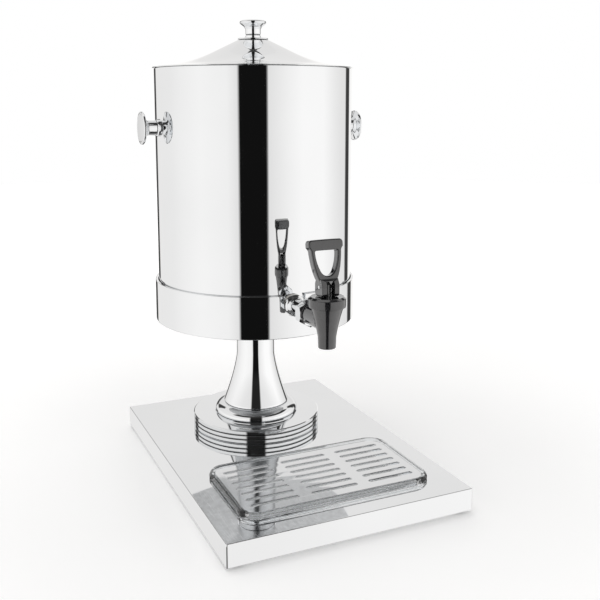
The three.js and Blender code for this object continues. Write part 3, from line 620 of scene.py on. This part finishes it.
def make_cup():
    cup = Place("support_cup")
    shank = Place("tap_shank")
    rod_hole = Place("tie_rod").half.x + ROD_CLEARANCE
    low, high, outer = cup.low.z, cup.high.z, cup.half.x
    wall, floor = 3.1, 2
    notch_foot = shank.mid.z - 14
    profile = [
        (rod_hole, low),
        (outer, low, 1.2),
        (outer, notch_foot),
        (outer, high, 0.7),
        (outer - wall, high, 0.7),
        (outer - wall, notch_foot),
        (outer - wall, low + floor, 1.0),
        (rod_hole, low + floor),
    ]
    band = turned("cup_band", profile, cup.mid, ring=True)
    notch_half = 12.6
    outline = [(notch_half, high + 5), (-notch_half, high + 5)]
    outline += arc_points(0, shank.mid.z, notch_half, 180, 360, 32)
    front, back = cup.low.y - 6, cup.low.y + 14
    points = [(x, front, z) for x, z in outline] + [(x, back, z) for x, z in outline]
    count = len(outline)
    faces = [list(range(count)), list(range(count, 2 * count))]
    faces += [[k, (k + 1) % count, count + (k + 1) % count, count + k] for k in range(count)]
    combined(band, mesh_piece("notch", points, faces))
    dress(band, "polished_steel", "stand", "support_cup")
    # a disc of unpolished steel under the cup, darker than the polish round it: painted shade, standing in
    # for the dim reflection on the cup's underside
    rim, hub = outer - 1.6, Place("pedestal_column").half.x * 0.62
    under, over = low - SKIN, low + 0.2
    profile = [(hub, under), (rim, under), (rim, over), (hub, over)]
    dress(turned("cup_underside_shade", profile, cup.mid, ring=True), "plain_steel", "stand", "support_cup")


# ---- Vessel and handles ----


def make_vessel():
    vessel = Place("vessel_shell")
    shank = Place("tap_shank")
    knob = Place("left_handle_knob")
    low, high, outer = vessel.low.z, vessel.high.z, vessel.half.x
    inner = outer - SHEET
    floor = low + 15.7
    near_shank = [shank.mid.z - 15, shank.mid.z + 15]
    near_screws = [knob.mid.z - 9, knob.mid.z + 9]
    outside = [(outer, z) for z in near_shank + near_screws]
    inside = [(inner, z) for z in reversed(near_shank + near_screws)]
    profile = [
        (0, floor - 1),
        (inner, floor, 2.0),
        (inner, low, 0.3),
        (outer, low, 0.6),
        *outside,
        (outer, high, 0.5),
        (inner, high, 0.5),
        *inside,
        (inner, floor + SHEET, 4.0),
        (0, floor + SHEET - 1),
    ]
    shell = turned("vessel_body", profile, vessel.mid)
    # a satin finish inside, as a thin skin on the wall and the floor
    lining_top = high - 6
    profile = [
        (0, floor + SHEET - 1 + SKIN),
        (inner - SKIN, floor + SHEET + SKIN, 4.0),
        *[(inner - SKIN, z) for z in near_shank + near_screws],
        (inner - SKIN, lining_top),
        (inner + SKIN, lining_top),
        *inside,
        (inner + SKIN, floor + SHEET - SKIN, 4.0),
        (0, floor + SHEET - 1 - SKIN),
    ]
    lining = turned("vessel_lining", profile, vessel.mid)
    for piece in (shell, lining):
        cuts = [plug("shank_hole", SHANK_SOCKET, vessel.low.y - 5, vessel.low.y + 8, shank.mid, "y", 64)]
        for side in (-1, 1):
            reach = sorted([side * (outer - 6), side * (outer + 5)])
            cuts.append(plug("screw_hole", SCREW_SOCKET, *reach, (0, vessel.mid.y, knob.mid.z), "x", 32))
        combined(piece, *cuts)
    dress(lining, "plain_steel", "vessel", "vessel_shell")
    dress(shell, "polished_steel", "vessel", "vessel_shell")


def make_handles():
    for name, side in (("left", -1), ("right", 1)):
        knob = Place(f"{name}_handle_knob")
        collar = Place(f"{name}_handle_collar")
        face = side * max(abs(knob.low.x), abs(knob.high.x))
        root = side * min(abs(knob.low.x), abs(knob.high.x))
        radius, stem, length = knob.half.z, 8.1, 9

        def inwards(distance):
            return face - side * distance

        profile = [
            (0, inwards(length)),
            (SCREW_SOCKET, inwards(length)),
            (SCREW_SOCKET, root, 0.2),
            (stem, root, 0.4),
            (stem, inwards(7.2), 2.6),
            (stem + 3.4, inwards(4.6), 3.0),
            (radius - 0.9, inwards(3.2), 0.8),
            (radius, inwards(2.4), 0.6),
            (radius - 0.3, inwards(0.7), 0.8),
            (radius - 2.6, inwards(0.1), 0.9),
            (radius - 3.2, inwards(0.5), 0.3),
            (radius - 4.2, inwards(0.45), 0.5),
            (radius * 0.4, inwards(0.1)),
            (0, inwards(0)),
        ]
        piece = turned(f"{name}_knob", profile, knob.mid, "x", MIDDLE_SIDES)
        dress(piece, "chrome_trim", "vessel", f"{name}_handle_knob")

        outer_end = side * max(abs(collar.low.x), abs(collar.high.x))
        wall_end = side * min(abs(collar.low.x), abs(collar.high.x))
        outer = collar.half.z
        profile = [
            (SCREW_SOCKET, wall_end),
            (outer, wall_end, 0.2),
            (outer, outer_end - side * 1.2, 0.4),
            (outer - 0.9, outer_end, 0.6),
            (SCREW_SOCKET, outer_end),
        ]
        piece = turned(f"{name}_collar", profile, knob.mid, "x", SMALL_SIDES, ring=True)
        dress(piece, "chrome_trim", "vessel", f"{name}_handle_collar")


# ---- Lid ----


def lid_rise(radius, rim):
    """Height of the lid's upper surface above its edge: a cone whose slope eases towards the rim."""
    cone, flat, cone_slope, flat_slope = 45, 100, 0.48, 0.11
    eased = min(max((flat - radius) / (flat - cone), 0), 1)
    outer = (rim - max(radius, flat)) * flat_slope
    middle = (flat - cone) * (flat_slope * eased + (cone_slope - flat_slope) * eased**2 / 2)
    return outer + middle + max(0, cone - radius) * cone_slope


def make_lid():
    lid = Place("lid_shell")
    vessel = Place("vessel_shell")
    washer = Place("knob_washer")
    knob = Place("lid_knob")
    rim, top = lid.half.x, lid.high.z
    flat_radius, hole, sheet = 17, 2.9, 1.3
    edge = top - lid_rise(flat_radius, rim)
    steps = 48
    radii = [rim - 1.2 + (flat_radius - rim + 1.2) * k / steps for k in range(steps + 1)]
    above = [(r, edge + lid_rise(r, rim)) for r in radii]
    skirt = vessel.half.x - 2.5
    below = [(r, z - sheet) for r, z in reversed(above) if r < skirt - sheet - 0.5]
    rim_bottom = vessel.high.z + GAP
    profile = [
        (skirt, rim_bottom, 0.3),
        (rim - 0.5, rim_bottom, 0.4),
        (rim, rim_bottom + 0.6, 0.4),
        (rim, rim_bottom + 1.0, 0.3),
        *above,
        (hole, top),
        (hole, top - sheet),
        *below,
        (skirt - sheet, rim_bottom - 0.4, 1.0),
        (skirt - sheet, lid.low.z, 0.4),
        (skirt, lid.low.z, 0.4),
    ]
    dress(turned("lid_cover", profile, lid.mid, ring=True), "polished_steel", "lid", "lid_shell")

    low, high, outer = washer.low.z, washer.high.z, washer.half.x
    profile = [(hole, low), (outer, low, 0.3), (outer, high, 0.6), (hole, high)]
    seat = turned("knob_seat", profile, lid.mid, sides=MIDDLE_SIDES, ring=True)
    dress(seat, "chrome_trim", "lid", "knob_washer")

    low, high, outer, neck = knob.low.z, knob.high.z, knob.half.x, 8.8
    profile = [
        (0, high - 6),
        (hole, high - 6),
        (hole, low),
        (neck, low, 0.4),
        (neck, low + 2.8, 0.5),
        (neck - 1, low + 3.2, 0.4),
        (neck - 1, low + 3.8, 0.4),
        (neck, low + 4.2, 0.5),
        (neck, low + 9.8, 4.0),
        (neck + 1.6, low + 12.6, 3.0),
        (outer - 0.7, high - 4.2, 0.8),
        (outer, high - 3.2, 0.7),
        (outer - 0.3, high - 1.4, 1.0),
        (outer - 2.8, high - 0.4, 1.3),
        (outer * 0.4, high - 0.1),
        (0, high),
    ]
    dress(turned("lid_pull", profile, lid.mid, sides=MIDDLE_SIDES), "chrome_trim", "lid", "lid_knob")


# ---- Tap ----


def make_shank():
    shank = Place("tap_shank")
    seal = Place("tap_outer_seal")
    nut = Place("tap_coupling_nut")
    inner_end, tap_end = shank.high.y, shank.low.y
    flange = seal.low.y - GAP
    outer, tube = shank.half.x, 8
    profile = [
        (SHANK_BORE, inner_end, 0.4),
        (tube, inner_end, 0.5),
        (tube, flange, 0.2),
        (outer, flange, 0.5),
        (outer, flange - 2.4, 1.0),
        (outer - 1.4, flange - 3.4, 0.8),
        (tube + 0.8, flange - 4.2, 1.2),
        (tube, flange - 6.4, 1.6),
        (tube, tap_end, 0.5),
        (SHANK_BORE, tap_end, 0.4),
    ]
    piece = turned("shank_tube", profile, shank.mid, "y", MIDDLE_SIDES, ring=True)
    dress(piece, "chrome_trim", "vessel", "tap_shank")
    across_flats = 2 * min(nut.half.x, nut.half.z)
    turn = 0.0 if nut.half.x > nut.half.z else math.pi / 6
    piece = hex_nut("coupling_nut", across_flats, SHANK_SOCKET, nut.low.y, nut.high.y, nut.mid, "y", turn)
    dress(piece, "chrome_trim", "vessel", "tap_coupling_nut")


def make_tap_body():
    body = Place("tap_body")
    bonnet = Place("tap_bonnet")
    shank = Place("tap_shank")
    axis = Vector((0, bonnet.mid.y, 0))
    low, high = body.low.z, body.high.z
    seat, spout_bore = low + 19, 5.8
    profile = [
        (spout_bore, low, 0.5),
        (8.8, low, 0.7),
        (9.2, low + 11.5, 20),
        (11.2, low + 22, 12),
        (13.9, low + 32.5, 10),
        (15.9, low + 39, 5),
        (16.6, high, 0.5),
        (CHAMBER_RADIUS, high, 0.3),
        (CHAMBER_RADIUS, seat, 0.3),
        (spout_bore, seat, 0.3),
    ]
    piece = turned("tap_barrel", profile, axis, sides=MIDDLE_SIDES, ring=True)
    middle, inlet_end = bonnet.mid.y, body.high.y
    boss = 10.8
    inlet = [(0, middle + 6), (boss, middle + 6), (boss, inlet_end, 0.8), (0, inlet_end)]
    neck = turned("inlet_boss", inlet, shank.mid, "y", SMALL_SIDES)
    combined(neck, plug("chamber", CHAMBER_RADIUS, seat, high, axis, sides=MIDDLE_SIDES))
    combined(piece, neck, operation="UNION")
    way = plug("way", SHANK_BORE, middle + 5, inlet_end - 5, shank.mid, "y")
    socket = plug("socket", SHANK_SOCKET, inlet_end - 13, inlet_end + 1, shank.mid, "y", 64)
    combined(piece, way, socket)
    dress(piece, "black_plastic", "vessel", "tap_body")

    low, high, outer = bonnet.low.z, bonnet.high.z, bonnet.half.x
    stem_hole, roof = 3.9, high - 3.6
    profile = [
        (CHAMBER_RADIUS, low),
        (outer - 0.3, low, 0.6),
        (outer, low + 2.2, 1.0),
        (outer, high - 2.0, 0.9),
        (outer - 2.8, high, 1.0),
        (outer - 6.0, high - 0.1, 0.5),
        (stem_hole, high - 0.1, 0.4),
        (stem_hole, roof, 0.2),
        (CHAMBER_RADIUS, roof, 0.2),
    ]
    piece = turned("bonnet_ring", profile, axis, sides=MIDDLE_SIDES, ring=True)
    dress(piece, "black_plastic", "vessel", "tap_bonnet")


def make_valve():
    stem = Place("valve_stem")
    pin = Place("lever_pin")
    low, high, radius = stem.low.z, stem.high.z, 3.6
    head, head_top = 5, low + 2
    profile = [
        (0, low),
        (head, low, 0.4),
        (head, head_top, 0.4),
        (radius, head_top, 0.4),
        (radius, high - 3, 1.2),
        (radius - 1.6, high - 0.4, 0.8),
        (0, high),
    ]
    piece = turned("stem_rod", profile, stem.mid, sides=SMALL_SIDES)
    combined(piece, plug("pin_bore", pin.half.z + GAP, -ACROSS, ACROSS, pin.mid, "x"))
    dress(piece, "black_plastic", "valve", "valve_stem")
    ends = [(0, pin.low.x), (pin.half.z, pin.low.x, 0.5), (pin.half.z, pin.high.x, 0.5), (0, pin.high.x)]
    dress(turned("pin_rod", ends, pin.mid, "x", 64), "chrome_trim", "valve", "lever_pin")


def make_lever():
    """A leaning loop with a finger hole, on two ears that straddle the valve's stem."""
    pin = Place("lever_pin")
    bonnet = Place("tap_bonnet")
    lean = math.radians(10)
    half_foot, shoulder, grip_half, grip_corner = 9.4, 16.4, 18.6, 3.8
    right = [(half_foot, 2), (half_foot, 5)]
    right += curve_points((half_foot + 0.2, 5.6), (15.0, 16), (shoulder, 35.4))
    right += curve_points((shoulder + 0.1, 35.8), (17.2, 37.2), (grip_half, 38.8), 6)[1:]
    right += arc_points(grip_half - grip_corner, 42.4, grip_corner, 0, 80, 12)
    top = curve_points(right[-1], (0, 46.6), (-right[-1][0], right[-1][1]), 24)
    left = [(-x, y) for x, y in reversed(right)]
    outer = right[:-1] + top[:-1] + left
    side = curve_points((12.1, 33.6), (11.6, 24), (7.4, 15.4), 14)
    side += curve_points((7.4, 15.4), (4.8, 10.6), (0, 10.6), 10)[1:]
    hole = [(-x, y) for x, y in side[:-1]] + side[::-1]
    hole += arc_points(10.4, 33.8, 1.7, 0, 90, 6)
    hole += arc_points(-10.4, 33.8, 1.7, 90, 180, 6)
    thickness, edge = 9.5, 1.6
    loop = outline_plate("lever_loop", outer, [hole], thickness, edge, 5)
    loop.data.transform(Matrix.Rotation(math.pi / 2 - lean, 4, "X"))

    half_depth, foot, corner = 8.5, pin.mid.z - bonnet.high.z - GAP, 4
    ear_top = 8.5
    side = [(-half_depth + 3, ear_top), (-half_depth, 3)]
    side += arc_points(-half_depth + corner, -foot + corner, corner, 180, 270, 12)
    side += arc_points(half_depth - corner, -foot + corner, corner, 270, 360, 12)
    side += [(half_depth, 3), (half_depth - 3, ear_top)]
    ears = outline_plate("lever_ears", side, [], 2 * half_foot, 0.7, 3)
    ears.data.transform(Matrix.Rotation(math.pi / 2, 4, "Z") @ Matrix.Rotation(math.pi / 2, 4, "X"))
    lever = combined(loop, ears, operation="UNION")
    slot_width, slot_top, pin_clearance = 8.6, 6.5, 0.08
    slot = lofted("stem_slot", slot_width, 2 * ACROSS, 0.8, (0, 0, 0), [(0, -foot - 5), (0, slot_top)], 4)
    bore = plug("lever_bore", pin.half.z + pin_clearance, -ACROSS, ACROSS, (0, 0, 0), "x")
    combined(lever, slot, bore)
    lever.data.transform(Matrix.Translation(pin.mid * MM))
    dress(lever, "black_plastic", "lever", "tap_lever")


# ---- Drip tray ----


def make_tray():
    tray = Place("drip_tray")
    grille = Place("drip_grille")
    base = Place("base_shell")
    width, depth, corner = 2 * tray.half.x, 2 * tray.half.y, 20
    bottom, top = tray.low.z, tray.high.z
    seat, ledge = base.high.z + GAP, grille.low.z - GAP
    wall, rebate, thick, face_inset = 10.5, 5.7, 1.6, 14
    profile = [
        (face_inset, bottom),
        (wall - thick, bottom, 1.5),
        (wall - thick, seat, 0.8),
        (thick, seat, 0.4),
        (0, seat + 0.6, 0.7),
        (0, top - 2.8, 1.6),
        (thick, top, 1.6),
        (rebate - 1.5, top, 0.9),
        (rebate, top - 1.2, 0.6),
        (rebate, ledge, 0.5),
        (wall, ledge, 0.7),
        (wall, bottom + thick, 2.0),
        (face_inset, bottom + thick),
    ]
    dress(lofted("tray_pan", width, depth, corner, tray.mid, profile, 20), "clear_tray", "tray", "drip_tray")

    inset = tray.half.x - grille.half.x
    plate_depth = 2 * (tray.half.y - inset)
    outer = rounded_rectangle(2 * grille.half.x, plate_depth, corner - inset, 16)
    rows, pitch, length, breadth, group_pitch = 7, 12.7, 51, 5, 64
    slots = []
    for group in (-1, 0, 1):
        for row in range(rows):
            y = (row - (rows - 1) / 2) * pitch
            reach = (length - breadth) / 2
            slot = arc_points(group * group_pitch + reach, y, breadth / 2, -90, 90, 12)
            slot += arc_points(group * group_pitch - reach, y, breadth / 2, 90, 270, 12)
            slots.append(slot)
    plate = outline_plate("grille_plate", outer, slots, 2 * grille.half.z, 0.35, 2)
    plate.data.transform(Matrix.Translation(grille.mid * MM))
    dress(plate, "grille_steel", "grille", "drip_grille")


# ---- Studio ----

VIEW_YAW = math.radians(24.45)
VIEW_PITCH = math.radians(8.68)
VIEW_POINT = (-0.35417, -0.83576, 0.41049)
FOCAL_LENGTH = 50.13
SENSOR_WIDTH = 36
FRAME_SHIFT = -0.12


def make_camera():
    data = bpy.data.cameras.new("studio_camera")
    data.lens = FOCAL_LENGTH
    data.sensor_width = SENSOR_WIDTH
    data.shift_y = FRAME_SHIFT
    camera = bpy.data.objects.new("studio_camera", data)
    camera.location = VIEW_POINT
    camera.rotation_euler = (math.pi / 2 - VIEW_PITCH, 0, -VIEW_YAW)
    bpy.context.scene.collection.objects.link(camera)
    bpy.context.scene.camera = camera


# Brightness of the studio round the object, as (degrees from the front towards the right, level). A black
# card stands in front, and a narrow dark edge stands behind on each side.
ROOM_LOW = [
    (-180, 1.0), (-169, 1.0), (-167, 0.06), (-150, 0.06), (-148, 0.88), (-106, 0.92), (-88, 0.97),
    (-60, 1.02), (-27, 0.98), (-15, 0.86), (-13, 0.006), (18, 0.006), (19, 0.84), (25, 0.88), (42, 0.98),
    (60, 1.06), (90, 1.06), (110, 0.93), (125, 0.86), (136, 0.84), (138, 0.05), (150, 0.05), (152, 1.0),
    (180, 1.0),
]
# The same higher up, where the dark edges stand a little further forward.
ROOM_HIGH = [
    (-180, 0.98), (-150, 0.96), (-148, 0.06), (-132, 0.06), (-130, 0.94), (-60, 1.0), (-17, 0.94),
    (-13, 0.02), (18, 0.02), (22, 0.94), (70, 1.03), (130, 1.0), (132, 0.06), (148, 0.06), (150, 0.98),
    (180, 0.98),
]
# The same overhead, where a dark canopy hangs over the front and the right.
ROOM_TOP = [(-180, 0.95), (-80, 0.95), (-72, 0.05), (124, 0.05), (130, 0.95), (180, 0.95)]
# Brightness by height, as (sine of the angle above the horizon, level). A dark ring lies low down.
ROOM_HEIGHT = [
    (-1, 0.88), (-0.985, 0.88), (-0.975, 0.15), (-0.88, 0.15), (-0.86, 0.90), (-0.3, 1.0), (0.12, 1.0),
    (0.26, 0.87), (0.7, 0.86), (1, 0.92),
]
# Heights, as the same sine, between which one of these gives way to the next.
LOW_TO_HIGH = (0.12, 0.22)
HIGH_TO_TOP = (0.58, 0.62)
ROOM_TINT = (1.0, 0.994, 0.988)


def ramp_node(nodes, stops, low, high):
    ramp = nodes.new("ShaderNodeValToRGB")
    elements = ramp.color_ramp.elements
    while len(elements) > 1:
        elements.remove(elements[-1])
    for i, (place, level) in enumerate(stops):
        position = (place - low) / (high - low)
        element = elements[0] if i == 0 else elements.new(position)
        element.position = position
        element.color = (*[tint * level for tint in ROOM_TINT], 1)
    return ramp


def make_room():
    """The studio's surroundings, as a sky of soft panels. Seen directly, it is plain white."""
    world = bpy.data.worlds.new("studio")
    bpy.context.scene.world = world
    world.use_nodes = True
    nodes, links = world.node_tree.nodes, world.node_tree.links
    background = nodes["Background"]
    direction = nodes.new("ShaderNodeTexCoord")
    turn = nodes.new("ShaderNodeVectorRotate")
    turn.rotation_type = "Z_AXIS"
    turn.inputs["Angle"].default_value = math.pi / 2 + VIEW_YAW
    parts = nodes.new("ShaderNodeSeparateXYZ")
    angle = nodes.new("ShaderNodeMath")
    angle.operation = "ARCTAN2"
    links.new(direction.outputs["Generated"], turn.inputs["Vector"])
    links.new(turn.outputs["Vector"], parts.inputs["Vector"])
    links.new(parts.outputs["Y"], angle.inputs[0])
    links.new(parts.outputs["X"], angle.inputs[1])

    def spread(value, low, high):
        step = nodes.new("ShaderNodeMapRange")
        step.inputs["From Min"].default_value = low
        step.inputs["From Max"].default_value = high
        links.new(value, step.inputs["Value"])
        return step.outputs["Result"]

    around = spread(angle.outputs["Value"], -math.pi, math.pi)
    low, high, top = [ramp_node(nodes, stops, -180, 180) for stops in (ROOM_LOW, ROOM_HIGH, ROOM_TOP)]
    height = ramp_node(nodes, ROOM_HEIGHT, -1, 1)
    for ramp in (low, high, top):
        links.new(around, ramp.inputs["Fac"])
    links.new(spread(parts.outputs["Z"], -1, 1), height.inputs["Fac"])

    def mixed(factor, a, b, blend="MIX"):
        step = nodes.new("ShaderNodeMix")
        step.data_type = "RGBA"
        step.blend_type = blend
        if isinstance(factor, float):
            step.inputs["Factor"].default_value = factor
        else:
            links.new(factor, step.inputs["Factor"])
        for socket, value in (("A", a), ("B", b)):
            target = [s for s in step.inputs if s.name == socket and s.type == "RGBA"][0]
            if isinstance(value, tuple):
                target.default_value = value
            else:
                links.new(value, target)
        return [s for s in step.outputs if s.type == "RGBA"][0]

    panels = mixed(spread(parts.outputs["Z"], *LOW_TO_HIGH), low.outputs["Color"], high.outputs["Color"])
    panels = mixed(spread(parts.outputs["Z"], *HIGH_TO_TOP), panels, top.outputs["Color"])
    shaded = mixed(1.0, panels, height.outputs["Color"], "MULTIPLY")
    ray = nodes.new("ShaderNodeLightPath")
    seen = mixed(ray.outputs["Is Camera Ray"], shaded, (1, 1, 1, 1))
    links.new(seen, background.inputs["Color"])


def make_floor():
    radius, top, bottom = 3500, -0.4, -6
    floor = plug("studio_floor", radius, top, bottom, (0, 0, 0), sides=128)
    surface = Surface("studio_floor")
    surface.colour(surface.noise(3.0, detail=2.0), (0.93, 0.93, 0.93), (0.96, 0.96, 0.96))
    surface.roughness(surface.noise(20.0, detail=3.0), 0.7, 0.85)
    # it brightens with distance, in metres, and so runs into the white behind it
    near, far, near_glow, far_glow = 0.3, 1.6, 0.23, 0.6
    distance = surface.nodes.new("ShaderNodeVectorMath")
    distance.operation = "LENGTH"
    brighten = surface.nodes.new("ShaderNodeMapRange")
    brighten.inputs["From Min"].default_value = near
    brighten.inputs["From Max"].default_value = far
    brighten.inputs["To Min"].default_value = near_glow
    brighten.inputs["To Max"].default_value = far_glow
    surface.links.new(surface.coordinates.outputs["Object"], distance.inputs[0])
    surface.links.new(distance.outputs["Value"], brighten.inputs["Value"])
    surface.links.new(brighten.outputs["Result"], surface.shader.inputs["Emission Strength"])
    surface.set(Emission_Color=(1, 1, 1, 1))
    floor.data.materials.append(surface.material)
    floor.visible_glossy = False


def make_light():
    """One large softbox overhead. It lights the floor and isn't mirrored in the metal."""
    data = bpy.data.lights.new("overhead_softbox", "AREA")
    data.shape = "DISK"
    data.size = 2.4
    data.energy = 22
    light = bpy.data.objects.new("overhead_softbox", data)
    light.location = (-0.3, -0.2, 2.4)
    light.visible_glossy = False
    light.visible_camera = False
    bpy.context.scene.collection.objects.link(light)


make_camera()
make_base()
make_pedestal()
make_cup()
make_vessel()
make_handles()
make_lid()
make_shank()
make_tap_body()
make_valve()
make_lever()
make_tray()
finish_cad_nodes()
make_room()
make_light()
make_floor()
bpy.context.scene.view_settings.view_transform = "Standard"
